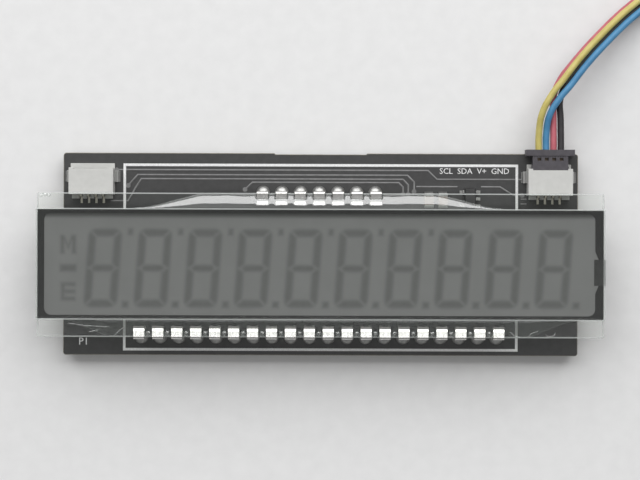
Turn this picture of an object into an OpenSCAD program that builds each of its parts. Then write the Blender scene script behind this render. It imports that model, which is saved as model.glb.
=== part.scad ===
// Ten-digit seven-segment glass display on a two-wire bus circuit board, with a four-wire jumper lead.
// Millimetres. +X runs along the digits, +Y towards the upper edge, +Z towards the viewer.
// The origin lies under the middle of the board, in the plane of the cut contact-pin tips.

/* [Board] */
// Length of the circuit board
board_l = 70; // [68:0.5:90]
// Width of the circuit board
board_w = 27.5; // [26.8:0.1:40]
// Thickness of the circuit board
board_t = 1.6; // [1:0.2:2]
// Radius of the board's corners
board_corner_r = 0.4; // [0.2:0.1:1]
// Depth of the shallow step that the panel break leaves in the upper edge
break_step = 0.15; // [0.05:0.05:0.4]
// Length of the panel-break step
break_l = 12.5; // [6:0.5:20]
// Diameter of the plated holes for the contact pins
hole_d = 1; // [0.8:0.05:1.2]
// Width of the printed outline's line
legend_line = 0.35; // [0.2:0.05:0.6]

/* [Display glass] */
// Length of both glass plates
glass_l = 76.2; // [75.8:0.1:90]
// Width of the front plate
front_glass_w = 14.95; // [13:0.05:15.9]
// Width of the rear plate's upper contact ledge
upper_ledge = 2.1; // [1.8:0.05:3]
// Width of the rear plate's lower contact ledge
lower_ledge = 2.35; // [1.8:0.05:3]
// Thickness of each plate
glass_t = 1.1; // [0.7:0.05:1.1]
// Offset of the rear plate's centre from the board's centre, along Y
glass_y = -1.45; // [-1.8:0.05:0]
// Thickness of the front polarizer film
polarizer_t = 0.2; // [0.15:0.05:0.3]
// Thickness of the rear polarizer with its reflector foil
reflector_t = 0.25; // [0.2:0.05:0.4]
// Bare border of the front plate around the polarizer film
film_border = 0.25; // [0.1:0.05:0.5]

/* [Liquid crystal cell] */
// Drawn gap between the plates
cell_gap = 0.1; // [0.05:0.01:0.2]
// Drawn thickness of the segment electrodes inside that gap
electrode_t = 0.04; // [0.01:0.01:0.08]
// Width of the seal along the long edges
seal_long_w = 0.62; // [0.4:0.02:1.2]
// Width of the seal along the left edge
seal_left_w = 1.04; // [0.6:0.02:1.3]
// Width of the seal along the right edge, where the cell is filled
seal_right_w = 1.26; // [0.8:0.02:1.5]
// Radius of the seal's inner corners
seal_corner_r = 0.95; // [0.4:0.05:1.5]
// Width of the fill port in the right-hand seal
port_w = 3.5; // [2:0.1:6]
// How far the port plug bulges past the glass edge
plug_bulge = 0.15; // [0.05:0.05:0.3]

/* [Digits] */
// Distance from digit to digit
digit_pitch = 6.72; // [6:0.02:7]
// Height of a digit
digit_h = 10.55; // [8:0.05:11.5]
// Width of a digit
digit_w = 4.5; // [3.6:0.05:4.8]
// Width of a segment's stroke
stroke = 1.05; // [0.7:0.05:1.15]
// Gap between neighbouring segments
segment_gap = 0.14; // [0.08:0.01:0.2]
// Lean of the digits to the right, in degrees
slant = 4.2; // [0:0.1:8]

/* [Contact pins] */
// Distance from pin to pin
pin_pitch = 2.54; // [2.2:0.02:2.6]
// Number of pins along the lower ledge
lower_pins = 20; // [16:1:20]
// Number of pins along the upper ledge
upper_pins = 7; // [4:1:9]
// Width of a pin's clip
pin_w = 1.48; // [1.2:0.02:1.7]
// Thickness of the pin strip
pin_t = 0.25; // [0.15:0.01:0.3]
// Width of a pin's leg
leg_w = 0.5; // [0.4:0.02:0.6]
// Reach of the clip's tongue over the ledge
tongue_l = 1.6; // [1.3:0.05:1.8]
// Length of leg left below the board
tail_l = 1; // [0.8:0.05:2.5]
// Radius of the solder on each side of the board
pad_r = 0.95; // [0.7:0.05:1.1]

/* [Resin beads] */
// Depth of the resin's crest below the front plate's face
bead_drop = 0.25; // [0.1:0.05:0.5]
// Full-width run of the upper bead past its end pins
upper_bead_run = 7; // [3:0.5:10]
// Full-width run of the lower bead past its end pins
lower_bead_run = 3.2; // [2:0.1:4]
// Length of each tapering end of the upper bead
upper_bead_taper = 10; // [4:0.5:14]
// Length of each tapering end of the lower bead
lower_bead_taper = 7; // [4:0.5:9]

/* [Sockets] */
// Width of a socket housing
socket_w = 6; // [5.6:0.1:6.8]
// Depth of a socket housing, front to back
socket_d = 4.25; // [4:0.05:5]
// Height of a socket housing
socket_h = 2.95; // [2.8:0.05:4]
// Wall of a socket housing
socket_wall = 0.42; // [0.35:0.01:0.5]
// Distance from a socket's middle to the board's short edge
socket_edge = 4; // [3.4:0.1:5]
// Distance from a socket's front lip to the board's upper edge
socket_setback = 1.45; // [0.8:0.05:1.8]
// Clear height between the sockets and the glass above them
socket_clear = 0.25; // [0.1:0.05:1]
// Distance from contact to contact
contact_pitch = 1; // [0.96:0.01:1.25]

/* [Lead] */
// Diameter of each insulated wire
wire_d = 0.9; // [0.6:0.02:0.94]
// Width of a plug's rear flange
flange_w = 6.6; // [5.6:0.1:7.6]
// Clearance of a plug in its socket, each side
plug_fit = 0.08; // [0.04:0.01:0.15]

/* [Hidden] */
$fn = 48;
EPS = 0.01;

// Levels above the plane of the pin tips
board_z = tail_l;
board_top = board_z + board_t;
stand_off = socket_h + socket_clear;
rear_glass_z = board_top + stand_off;
ledge_z = rear_glass_z + glass_t;
front_glass_z = ledge_z + cell_gap;
front_film_z = front_glass_z + glass_t;

// Edges of the two plates along Y
rear_glass_w = front_glass_w + upper_ledge + lower_ledge;
rear_top_y = glass_y + rear_glass_w / 2;
rear_low_y = glass_y - rear_glass_w / 2;
front_top_y = rear_top_y - upper_ledge;
front_low_y = front_top_y - front_glass_w;

// Liquid crystal area
lc_left = -glass_l / 2 + seal_left_w;
lc_right = glass_l / 2 - seal_right_w;
lc_top = front_top_y - seal_long_w;
lc_low = front_low_y + seal_long_w;
lc_t = cell_gap - electrode_t;
seal_inset = 0.12;
port_drop = 1;
port_y = (lc_top + lc_low) / 2 - port_drop;
port_flare = 0.45;
port_slope = 1.1;
port_plug_reach = 0.14;

// Digit block and the three signs to the left of it
// The digits start after the sign field and fill the cell at their pitch
sign_field = 4.5;
digits_end = 2;
digits = floor((lc_right - lc_left - sign_field - digits_end) / digit_pitch);
digits_drop = 0.43;
digits_y = glass_y - digits_drop;
corner_r = 1.15;
point_side = [0.8, 0.8];
tick_side = [0.6, 0.8];
tick_count = 7;
signs_inset = 3.21;
signs_x = lc_left + signs_inset;
sign_h = 2.4;
sign_w = 2.05;
sign_stroke = 0.5;
sign_step = 3.15;
error_step = 0.2;
minus_side = [2.15, 0.95];

// Contact clips: the strip stands off the glass and touches it near the tongue's end
pins_x = -0.2;
clip_lift = 0.12;
clip_bend_r = 0.1;
clip_touch = 0.16;
tongue_flat = 0.85;
tip_l = 0.42;
tip_bevel = 0.08;
tip_rise = 0.22;
prong_slot = 0.12;
solder_top_h = 0.6;
solder_low_h = 0.75;

// Socket interior, and the plug that fits it
contacts = 4;
lip = 0.65;
roof_notch = 0.2;
cavity_w = socket_w - 2 * socket_wall;
cavity_h = socket_h - 2 * socket_wall;
back_wall = 0.95;
cavity_d = socket_d - back_wall;
mouth_z = socket_wall + cavity_h / 2;
channel_w = 0.5;
channel_h = 0.8;
contact_w = 0.3;
contact_t = 0.2;
blade_play = 0.05;
blade_z = mouth_z - channel_h / 2 + blade_play;
blade_front = 1.2;
tail_out = 0.3;
tail_foot = 0.85;
slot_fit = 0.02;
rib_d = 0.55;
rib_h = 0.9;
rib_inset = 0.25;
rib_slot = 0.45;
tab_t = 0.2;
tab_l = 1.6;
tab_h = 1.3;
tab_foot = 0.5;
tab_back = 0.3;
plug_tip_gap = 0.2;
plug_tip_y = plug_tip_gap - cavity_d;
insert_w = cavity_w - 2 * plug_fit;
insert_h = cavity_h - 2 * plug_fit;
neck_step = 0.1;
plug_neck_w = insert_w - 2 * neck_step;
neck_l = 1.1;
flange_t = 0.85;
flange_h = 2.2;
channel_wall = 0.1;
channel_l = neck_l - channel_wall - plug_tip_y;
window_l = 0.4;
window_back = 0.25;
wire_well = 0.5;
wire_play = 0.05;
crimp_t = 0.18;
crimp_inset = 0.3;

socket_x = board_l / 2 - socket_edge;
socket_y = board_w / 2 - socket_setback;

// Printed outline: it runs round the pin rows, follows the long edges of the board and steps in
// beside a socket that stands nearer than its clearance
legend_t = 0.03;
legend_gap = 2.72;
legend_x = (lower_pins - 1) / 2 * pin_pitch + legend_gap;
legend_clear = 1.15;
legend_top_x = min(legend_x, socket_x - socket_w / 2 - legend_clear);
legend_step_y = socket_y - socket_d - rib_d - legend_clear;
legend_top_inset = 1.45;
legend_low_inset = 0.6;
legend_top_y = board_w / 2 - legend_top_inset;
legend_low_y = legend_low_inset - board_w / 2;

// Small parts under and beside the upper ledge
chip_l = 12.5;
chip_w = 6.1;
chip_h = 1;
chip_foot = 0.1;
chip_leads = 24;
chip_pitch = 0.5;
chip_pos = [-4, -2.5];
chip_lead_w = 0.22;
chip_lead_reach = 1;
lead_t = 0.15;
mark_r = 0.4;
mark_depth = 0.08;
mark_inset = 0.8;
body_draft = 0.12;
regulator_l = 2.9;
regulator_w = 1.6;
regulator_h = 1.1;
regulator_pitch = 0.95;
regulator_lead_w = 0.4;
regulator_reach = 0.6;
regulator_pos = [20.3, 7.6];
cap_side = [1.25, 2, 1];
resistor_side = [0.8, 1.6, 0.45];
end_cap_l = 0.4;
capacitor_pos = [[14.7, 7.35], [16.6, 7.35], [5.5, -2.5]];
resistor_pos = [[22.6, 2.6], [24.2, 2.6]];

// Route of the four-wire lead, from the plug in the right-hand socket to the free plug:
// X and Y from the bottom of the plug's wire well, Z from the surface that the display lies on
wire_colours = ["gold", "steelblue", "firebrick", "dimgray"];
lead_rows = [-1.5, -0.5, 0.5, 1.5];
lead_pack = [-0.6, 0.65, -0.9, 0.1];
lead_layer = [1, 1, -1, -1];
layer_step = wire_d / 2 + 0.01;
layer_start = 1.5;
layer_run = 3.5;
pack_start = 3.5;
pack_run = 6.5;
tube_sides = 8;
lay_z = layer_step + wire_d / 2 + 0.05;
lead_exit = [socket_x, socket_y + neck_l + flange_t - wire_well];
plug_z = board_top + mouth_z;
free_z = flange_h / 2;
lead_route = [
    [0, 0, plug_z], [0, 2.6, plug_z], [0.2, 5.1, 4.4], [0.9, 7.5, 4.6], [2.2, 9.6, 4.6], [3.8, 11.7, 4.4],
    [5.5, 13.7, 4], [7.3, 15.6, 3.4], [9.2, 17.5, 2.7], [11.2, 19.3, 2], [13.4, 20.9, 1.4], [15.9, 21.7, 1.1],
    [18.4, 21.1, lay_z], [20.2, 19.2, lay_z], [21, 16.7, lay_z], [21.2, 14.1, lay_z], [21.1, 11.4, lay_z],
    [20.8, 8.7, 1.05], [20.5, 6, free_z], [20.5, 3.4, free_z]
];
lead_last = len(lead_route) - 1;

function pin_name(row, i) = str(row, "_pin_", i < 9 ? "0" : "", i + 1);

// Shared shapes

function ramp(t) = t <= 0 ? 0 : t >= 1 ? 1 : t * t * (3 - 2 * t);
function arc(centre, r, from, to, steps) =
    [for (i = [0 : steps]) let (a = from + (to - from) * i / steps) centre + r * [cos(a), sin(a)]];
function row_x(i, count, pitch) = (i - (count - 1) / 2) * pitch;
function pin_x(i, count) = pins_x + row_x(i, count, pin_pitch);

module rounded_outline(l, w, r) {
    square([l - 2 * r, w], center = true);
    square([l, w - 2 * r], center = true);
    for (x = [-1, 1], y = [-1, 1])
        translate([x * (l / 2 - r), y * (w / 2 - r)]) circle(r);
}

// A profile drawn in the Y-Z plane, extruded along X and centred on it
module along_x(width) {
    translate([-width / 2, 0, 0]) rotate([90, 0, 90]) linear_extrude(width) children();
}

// Plate whose front edges line up with the front glass, set in by a border
module front_area(border) {
    translate([0, (front_top_y + front_low_y) / 2])
        square([glass_l - 2 * border, front_glass_w - 2 * border], center = true);
}

// Closed skin through a row of like rings of points, with a flat cap on each end
module loft(rings) {
    n = len(rings[0]);
    last = len(rings) - 1;
    polyhedron([for (ring = rings) each ring], concat(
        [[for (k = [0 : n - 1]) k]],
        [for (i = [0 : last - 1], k = [0 : n - 1]) let (a = i * n + k, b = i * n + (k + 1) % n)
            each [[a, a + n, b], [b, a + n, b + n]]],
        [[for (k = [n - 1 : -1 : 0]) last * n + k]]));
}

// Circuit board

// Repeats its children at every pin leg, on the plane of the pin tips
module at_legs() {
    for (i = [0 : lower_pins - 1]) translate([pin_x(i, lower_pins), rear_low_y - pin_t / 2]) children();
    for (i = [0 : upper_pins - 1]) translate([pin_x(i, upper_pins), rear_top_y + pin_t / 2]) children();
}

module circuit_board() {
    color("#232323") translate([0, 0, board_z]) linear_extrude(board_t) difference() {
        rounded_outline(board_l, board_w, board_corner_r);
        translate([-break_l / 2, board_w / 2 - break_step]) square([break_l, 2 * break_step]);
        at_legs() circle(d = hole_d);
    }
}

module legend_area(inset) {
    low = legend_low_y + inset;
    top = legend_top_y - inset;
    half_low = legend_x - inset;
    half_top = legend_top_x - inset;
    translate([-half_low, low]) square([2 * half_low, legend_step_y - inset - low]);
    translate([-half_top, low]) square([2 * half_top, top - low]);
}

module legend_outline() {
    color("white") translate([0, 0, board_top]) linear_extrude(legend_t) difference() {
        legend_area(0);
        legend_area(legend_line);
    }
}

// Display glass

module front_polarizer() {
    color("#6b6b6b") translate([0, 0, front_film_z]) linear_extrude(polarizer_t) front_area(film_border);
}

module front_glass() {
    color("#9fb0ad") translate([0, 0, front_glass_z]) linear_extrude(glass_t) front_area(0);
}

module rear_glass() {
    color("#9fb0ad") translate([0, glass_y, rear_glass_z + glass_t / 2])
        cube([glass_l, rear_glass_w, glass_t], center = true);
}

module rear_reflector() {
    color("#8a8a86") translate([0, 0, rear_glass_z - reflector_t]) linear_extrude(reflector_t)
        front_area(film_border);
}

// Outline of the filled cell: the right-hand seal flares out on both sides of the fill port
module crystal_outline() {
    difference() {
        union() {
            translate([(lc_left + lc_right) / 2, (lc_top + lc_low) / 2])
                rounded_outline(lc_right - lc_left, lc_top - lc_low, seal_corner_r);
            translate([lc_right, port_y]) polygon([
                [-port_flare, -port_w / 2 - port_slope], [0, -port_w / 2 - port_slope],
                [port_flare, -port_w / 2], [port_flare, port_w / 2],
                [0, port_w / 2 + port_slope], [-port_flare, port_w / 2 + port_slope]]);
        }
        port_plug_outline();
    }
}

module port_plug_outline() {
    x = lc_right - port_plug_reach;
    translate([x, port_y - port_w / 2]) square([glass_l / 2 - x, port_w]);
}

module perimeter_seal() {
    color("#1c1c1c") translate([0, 0, ledge_z]) linear_extrude(cell_gap) difference() {
        front_area(seal_inset);
        crystal_outline();
        port_plug_outline();
    }
}

module fill_port_plug() {
    color("#151515") {
        translate([0, 0, ledge_z]) linear_extrude(cell_gap) port_plug_outline();
        translate([glass_l / 2, port_y + port_w / 2, ledge_z + cell_gap / 2]) rotate([90, 0, 0])
            linear_extrude(port_w) intersection() {
                circle(plug_bulge);
                translate([0, -plug_bulge]) square([plug_bulge, 2 * plug_bulge]);
            }
    }
}

module liquid_crystal() {
    color("#7c7c7a") translate([0, 0, ledge_z]) linear_extrude(lc_t) crystal_outline();
}

// Seven-segment digit, drawn upright about its centre and leant over by the slant

function lean(points) = [for (p = points) [p[0] + p[1] * tan(slant), p[1]]];
function flip(points, sx, sy) = [for (p = points) [p[0] * sx, p[1] * sy]];

corner_c = [digit_w / 2 - corner_r, digit_h / 2 - corner_r];
mitre = atan(segment_gap / corner_r) / 2;

// Top bar, with half of each rounded corner
function bar_points() =
    let (inner = digit_w / 2 - stroke - segment_gap / 2,
         half = concat(arc(corner_c, corner_r, 90, 45 + mitre, 4), [[inner, digit_h / 2 - stroke]]))
    concat(half, [for (i = [len(half) - 1 : -1 : 0]) [-half[i][0], half[i][1]]]);

// Upper right-hand bar, from its half corner down to the middle
function post_points() =
    concat(arc(corner_c, corner_r, 45 - mitre, 0, 4),
           [[digit_w / 2, segment_gap / 2],
            [digit_w / 2 - stroke / 2 + segment_gap / 4, segment_gap / 2],
            [digit_w / 2 - stroke, stroke / 2],
            [digit_w / 2 - stroke, digit_h / 2 - stroke - segment_gap / 2]]);

// Middle bar, pointed at both ends
function middle_points() =
    let (tip = digit_w / 2 - stroke / 2 - segment_gap / 2, shoulder = tip - stroke / 2 + segment_gap / 2)
    [[-tip, 0], [-shoulder, stroke / 2 - segment_gap / 2], [shoulder, stroke / 2 - segment_gap / 2],
     [tip, 0], [shoulder, segment_gap / 2 - stroke / 2], [-shoulder, segment_gap / 2 - stroke / 2]];

function box_points(centre, side) =
    [for (c = [[-1, -1], [1, -1], [1, 1], [-1, 1]]) centre + [c[0] * side[0], c[1] * side[1]] / 2];

module digit() {
    for (sy = [-1, 1]) {
        polygon(lean(flip(bar_points(), 1, sy)));
        for (sx = [-1, 1]) polygon(lean(flip(post_points(), sx, sy)));
    }
    polygon(lean(middle_points()));
}

// The three signs to the left of the digits: memory, minus and error
module signs() {
    leg = sign_stroke;
    translate([0, sign_step]) polygon([
        [-sign_w / 2, -sign_h / 2], [-sign_w / 2, sign_h / 2], [-sign_w / 2 + leg, sign_h / 2], [0, 0],
        [sign_w / 2 - leg, sign_h / 2], [sign_w / 2, sign_h / 2], [sign_w / 2, -sign_h / 2],
        [sign_w / 2 - leg, -sign_h / 2], [sign_w / 2 - leg, leg], [0, -sign_h / 4],
        [leg - sign_w / 2, leg], [leg - sign_w / 2, -sign_h / 2]]);
    square(minus_side, center = true);
    translate([0, -sign_step]) difference() {
        square([sign_w - error_step, sign_h], center = true);
        for (side = [-1, 1]) translate([leg, side * sign_h / 5])
            square([sign_w - error_step, leg], center = true);
    }
}

function digit_x(i) = lc_left + sign_field + (i + 0.5) * digit_pitch;

module segment_electrodes() {
    color("#5f5f5d") translate([0, digits_y, ledge_z + lc_t]) linear_extrude(electrode_t) {
        for (i = [0 : digits - 1]) translate([digit_x(i), 0]) {
            digit();
            polygon(lean(box_points([digit_pitch / 2, (point_side[1] - digit_h) / 2], point_side)));
            if (i < tick_count)
                polygon(lean(box_points([digit_pitch / 2, (digit_h - tick_side[1]) / 2], tick_side)));
        }
        translate([signs_x, 0]) signs();
    }
}

// Contact pins: a stamped strip clipped over the rear plate's edge, with one leg through the board.
// Drawn for the lower ledge: Y is 0 at the plate's edge and grows over the glass, Z is 0 on the ledge.

// Side view of one clip jaw, from the middle of the glass edge to the turned-up tip of the tongue
module jaw_profile() {
    centre = [clip_bend_r, clip_lift - clip_bend_r];
    top = clip_lift + pin_t;
    touch = tongue_l - tip_l;
    polygon(concat(
        [[0, -glass_t / 2], [-pin_t, -glass_t / 2]],
        arc(centre, clip_bend_r + pin_t, 180, 90, 6),
        [[tongue_flat, top], [touch, pin_t], [tongue_l - tip_bevel, pin_t + tip_rise], [tongue_l, tip_rise],
         [touch + clip_touch, 0], [touch, 0], [tongue_flat, clip_lift]],
        arc(centre, clip_bend_r, 90, 180, 3)));
}

module contact_pin() {
    prong_w = (pin_w - leg_w) / 2 - prong_slot;
    color("#c9c6bf") union() {
        along_x(pin_w) jaw_profile();
        for (side = [-1, 1])
            translate([side * (pin_w - prong_w) / 2, 0, 0]) along_x(prong_w)
                translate([0, -glass_t]) mirror([0, 1]) jaw_profile();
        translate([-leg_w / 2, -pin_t, -ledge_z]) cube([leg_w, pin_t, ledge_z - glass_t / 2]);
    }
}

module lower_pin(i) {
    translate([pin_x(i, lower_pins), rear_low_y, ledge_z]) contact_pin();
}

module upper_pin(i) {
    translate([pin_x(i, upper_pins), rear_top_y, ledge_z]) rotate(180) contact_pin();
}

// Solder around one leg: a cap on each face of the board, joined through the plated hole
module solder_cap(h) {
    ball = (pad_r * pad_r + h * h) / (2 * h);
    intersection() {
        translate([0, 0, h - ball]) sphere(ball);
        cylinder(r = pad_r, h = h);
    }
}

module solder_joint() {
    difference() {
        union() {
            translate([0, 0, board_top]) solder_cap(solder_top_h);
            translate([0, 0, board_z]) mirror([0, 0, 1]) solder_cap(solder_low_h);
            translate([0, 0, board_z]) cylinder(d = hole_d, h = board_t);
        }
        translate([-leg_w / 2, -pin_t / 2, 0]) cube([leg_w, pin_t, ledge_z]);
    }
}

module solder_joints() {
    color("#b9bab8") at_legs() solder_joint();
}

// Resin beads: a fillet along the front plate's edge that swells over the pins and runs out at both ends.
// Drawn for the lower ledge: Y is 0 on the front plate's edge and falls towards the rear plate's edge.

bead_steps = 8;
bead_arc = 6;
bead_least = 0.05;
bead_end = 0.5;
bead_h = cell_gap + glass_t - bead_drop;

function bead_stations(span, taper) =
    concat([for (i = [0 : bead_steps]) -span - taper + taper * i / bead_steps],
           [for (i = [0 : bead_steps]) span + taper * i / bead_steps]);
function bead_share(x, span, taper) =
    bead_least + (1 - bead_least) * ramp((span + taper - abs(x)) / taper);
function bead_section(x, share, ledge) =
    concat([[x, 0, 0]],
           [for (i = [0 : bead_arc]) let (a = 90 * i / bead_arc)
               [x, -ledge * share * cos(a), bead_h * sqrt(share) * sin(a)]]);

module bead(span, taper, ledge) {
    xs = bead_stations(span, taper);
    loft([for (x = xs) bead_section(x, bead_share(x, span, taper), ledge)]);
}

module lower_resin_bead() {
    span = (lower_pins - 1) / 2 * pin_pitch + lower_bead_run;
    taper = min(lower_bead_taper, glass_l / 2 - abs(pins_x) - bead_end - span);
    color("#c8ccc8") difference() {
        translate([pins_x, front_low_y, ledge_z]) bead(span, taper, lower_ledge);
        for (i = [0 : lower_pins - 1]) lower_pin(i);
    }
}

module upper_resin_bead() {
    span = (upper_pins - 1) / 2 * pin_pitch + upper_bead_run;
    color("#c8ccc8") difference() {
        translate([pins_x, front_top_y, ledge_z]) rotate(180) bead(span, upper_bead_taper, upper_ledge);
        for (i = [0 : upper_pins - 1]) upper_pin(i);
    }
}

// Sockets: side-entry housings with four blades. Y is 0 on the front lip, Z is 0 on the board.

function contact_x(i) = row_x(i, contacts, contact_pitch);

module socket_ribs() {
    for (i = [0 : contacts]) let (
        from = i == 0 ? rib_inset - socket_w / 2 : contact_x(i - 1) + rib_slot / 2,
        to = i == contacts ? socket_w / 2 - rib_inset : contact_x(i) - rib_slot / 2)
        translate([from, -socket_d - rib_d, 0]) cube([to - from, rib_d + EPS, rib_h]);
}

module socket_housing() {
    color("#dcdad2") difference() {
        union() {
            translate([-socket_w / 2, -socket_d, 0]) cube([socket_w, socket_d, socket_wall]);
            translate([-socket_w / 2, -socket_d, 0]) cube([socket_w, socket_d - lip, socket_h]);
            socket_ribs();
        }
        translate([-cavity_w / 2, -cavity_d, socket_wall]) cube([cavity_w, cavity_d + 1, cavity_h]);
        translate([-cavity_w / 2 + roof_notch, -lip - roof_notch, socket_h - 2 * socket_wall])
            cube([cavity_w - 2 * roof_notch, lip + roof_notch, 3 * socket_wall]);
        for (i = [0 : contacts - 1])
            translate([contact_x(i) - contact_w / 2 - slot_fit, -socket_d - 1, blade_z - slot_fit])
                cube([contact_w + 2 * slot_fit, socket_d, contact_t + 2 * slot_fit]);
    }
}

// Blade, bend and solder foot of one contact
module socket_contact() {
    back = -socket_d - tail_out;
    along_x(contact_w) polygon([
        [-blade_front, blade_z + contact_t / 4], [-blade_front - contact_t, blade_z],
        [back + contact_t, blade_z], [back + contact_t, 0], [back - tail_foot, 0],
        [back - tail_foot, contact_t], [back, contact_t], [back, blade_z + contact_t],
        [-blade_front - contact_t, blade_z + contact_t], [-blade_front, blade_z + 3 * contact_t / 4]]);
}

module socket_contacts() {
    color("#cfc8b0") for (i = [0 : contacts - 1]) translate([contact_x(i), 0, 0]) socket_contact();
}

module at_socket(side) {
    translate([side * socket_x, socket_y, board_top]) children();
}

module socket_tabs() {
    color("#c4c2bb") for (side = [-1, 1]) at_socket(side)
        for (flank = [-1, 1]) mirror([flank < 0 ? 1 : 0, 0, 0])
            translate([socket_w / 2, -lip - tab_back - tab_l, 0]) {
                cube([tab_t, tab_l, tab_h]);
                cube([tab_foot, tab_l, tab_t]);
            }
}

// Plugs: the same frame as a socket, with the tip inside it and the wires leaving towards +Y

module plug_body() {
    well_w = (contacts - 1) * contact_pitch + wire_d + 2 * wire_play;
    well_h = wire_d + 2 * wire_play;
    color("#2b2a2c") difference() {
        union() {
            translate([-insert_w / 2, plug_tip_y, mouth_z - insert_h / 2])
                cube([insert_w, -plug_tip_y - lip / 2, insert_h]);
            translate([-plug_neck_w / 2, -lip, mouth_z - insert_h / 2])
                cube([plug_neck_w, lip + neck_l + EPS, insert_h]);
            translate([-flange_w / 2, neck_l, mouth_z - flange_h / 2])
                cube([flange_w, flange_t, flange_h]);
        }
        for (i = [0 : contacts - 1]) translate([contact_x(i) - channel_w / 2, 0, mouth_z]) {
            translate([0, plug_tip_y - 1, -channel_h / 2]) cube([channel_w, channel_l + 1, channel_h]);
            translate([0, neck_l - window_back - window_l, 0]) cube([channel_w, window_l, insert_h]);
        }
        translate([-well_w / 2, neck_l + flange_t - wire_well, mouth_z - well_h / 2])
            cube([well_w, wire_well + 1, well_h]);
    }
}

// Crimped terminal strips, held up against the roof of each channel
module plug_terminals() {
    for (i = [0 : contacts - 1])
        translate([contact_x(i) - channel_w / 2, plug_tip_y + crimp_inset, mouth_z + channel_h / 2 - crimp_t])
            cube([channel_w, channel_l - crimp_inset, crimp_t]);
}

module at_free_plug() {
    end = lead_route[lead_last];
    translate([lead_exit[0] + end[0], socket_y + end[1], free_z - mouth_z]) children();
}

module plug_contacts() {
    color("#b08d57") {
        at_socket(1) plug_terminals();
        at_free_plug() plug_terminals();
    }
}

// Wires: four tubes that leave the plug in a row, stack two over two and spread again at the free plug

function unit(v) = v / norm(v);
function lead_point(i) = [lead_exit[0], lead_exit[1], 0] + lead_route[i];
function route_length(i) = i == 0 ? 0 : route_length(i - 1) + norm(lead_route[i] - lead_route[i - 1]);
function heading(i) =
    i == 0 ? [0, 1, 0] : i == lead_last ? [0, -1, 0] : unit(lead_route[i + 1] - lead_route[i - 1]);
function rightward(i) = let (h = heading(i)) unit([h[1], -h[0], 0]);
function from_ends(i) = min(route_length(i), route_length(lead_last) - route_length(i));
function wire_point(w, i) =
    let (s = from_ends(i),
         packed = ramp((s - pack_start) / pack_run),
         layered = ramp((s - layer_start) / layer_run))
    lead_point(i)
        + rightward(i) * (lead_rows[w] * contact_pitch * (1 - packed) + lead_pack[w] * packed)
        + [0, 0, lead_layer[w] * layer_step * layered];
function wire_heading(w, i) =
    i == 0 || i == lead_last ? heading(i) : unit(wire_point(w, i + 1) - wire_point(w, i - 1));
function wire_ring(w, i) =
    let (h = wire_heading(w, i), side = unit(cross(h, [0, 0, 1])), up = cross(side, h))
    [for (k = [0 : tube_sides - 1]) let (a = 360 * k / tube_sides)
        wire_point(w, i) + wire_d / 2 * (side * cos(a) + up * sin(a))];

module wire(w) {
    color(wire_colours[w]) loft([for (i = [0 : lead_last]) wire_ring(w, i)]);
}

// Parts soldered to the board

// Moulded package with drafted sides above and below its parting line
module moulded_body(l, w, h) {
    draft = body_draft * h;
    module face(side) polygon([
        [-side / 2 + draft, 0], [-side / 2, h / 2], [-side / 2 + draft, h],
        [side / 2 - draft, h], [side / 2, h / 2], [side / 2 - draft, 0]]);
    intersection() {
        along_x(2 * l) face(w);
        rotate(90) along_x(2 * w) face(l);
    }
}

// Gull-wing lead on the +Y side of a package: out of the parting line, down and along the board
module gull_lead(width, half_w, parting_z, reach) {
    t = lead_t;
    along_x(width) polygon([
        [half_w, parting_z + t / 2], [half_w + reach / 3, parting_z + t / 2], [half_w + reach / 2, t],
        [half_w + reach, t], [half_w + reach, 0], [half_w + reach / 3, 0],
        [half_w + reach / 6, parting_z - t / 2], [half_w, parting_z - t / 2]]);
}

module at_chip() { translate([chip_pos[0], chip_pos[1], board_top]) children(); }

module driver_chip() {
    color("#1d1d1f") at_chip() difference() {
        translate([0, 0, chip_foot]) moulded_body(chip_l, chip_w, chip_h);
        translate([mark_inset - chip_l / 2, mark_inset - chip_w / 2, chip_foot + chip_h - mark_depth])
            cylinder(r = mark_r, h = 1);
    }
}

module driver_chip_leads() {
    color("#b9bab8") at_chip() for (side = [0, 180], i = [0 : chip_leads - 1])
        rotate(side) translate([row_x(i, chip_leads, chip_pitch), 0, 0])
            gull_lead(chip_lead_w, chip_w / 2, chip_foot + chip_h / 2, chip_lead_reach);
}

module at_regulator() { translate([regulator_pos[0], regulator_pos[1], board_top]) children(); }

module regulator() {
    color("#1d1d1f") at_regulator() translate([0, 0, chip_foot])
        moulded_body(regulator_w, regulator_l, regulator_h);
}

module regulator_lead() {
    gull_lead(regulator_lead_w, regulator_w / 2, chip_foot + regulator_h / 2, regulator_reach);
}

module regulator_leads() {
    color("#b9bab8") at_regulator() {
        for (i = [-1, 0, 1]) rotate(-90) translate([-i * regulator_pitch, 0, 0])
            regulator_lead();
        for (i = [-1, 1]) rotate(90) translate([i * regulator_pitch, 0, 0])
            regulator_lead();
    }
}

module chip_block(pos, side) {
    translate([pos[0] - side[0] / 2, pos[1] - side[1] / 2, board_top]) cube(side);
}

module chip_bodies(places, side) {
    for (p = places) chip_block(p, [side[0], side[1] - 2 * end_cap_l, side[2]]);
}

module chip_capacitors() { color("#9c8468") chip_bodies(capacitor_pos, cap_side); }

module chip_resistors() { color("#202024") chip_bodies(resistor_pos, resistor_side); }

module end_caps(places, side) {
    for (p = places, end = [-1, 1])
        chip_block(p + [0, end * (side[1] - end_cap_l) / 2], [side[0], end_cap_l, side[2]]);
}

module chip_end_caps() {
    color("#c4c6c6") {
        end_caps(capacitor_pos, cap_side);
        end_caps(resistor_pos, resistor_side);
    }
}

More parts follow.
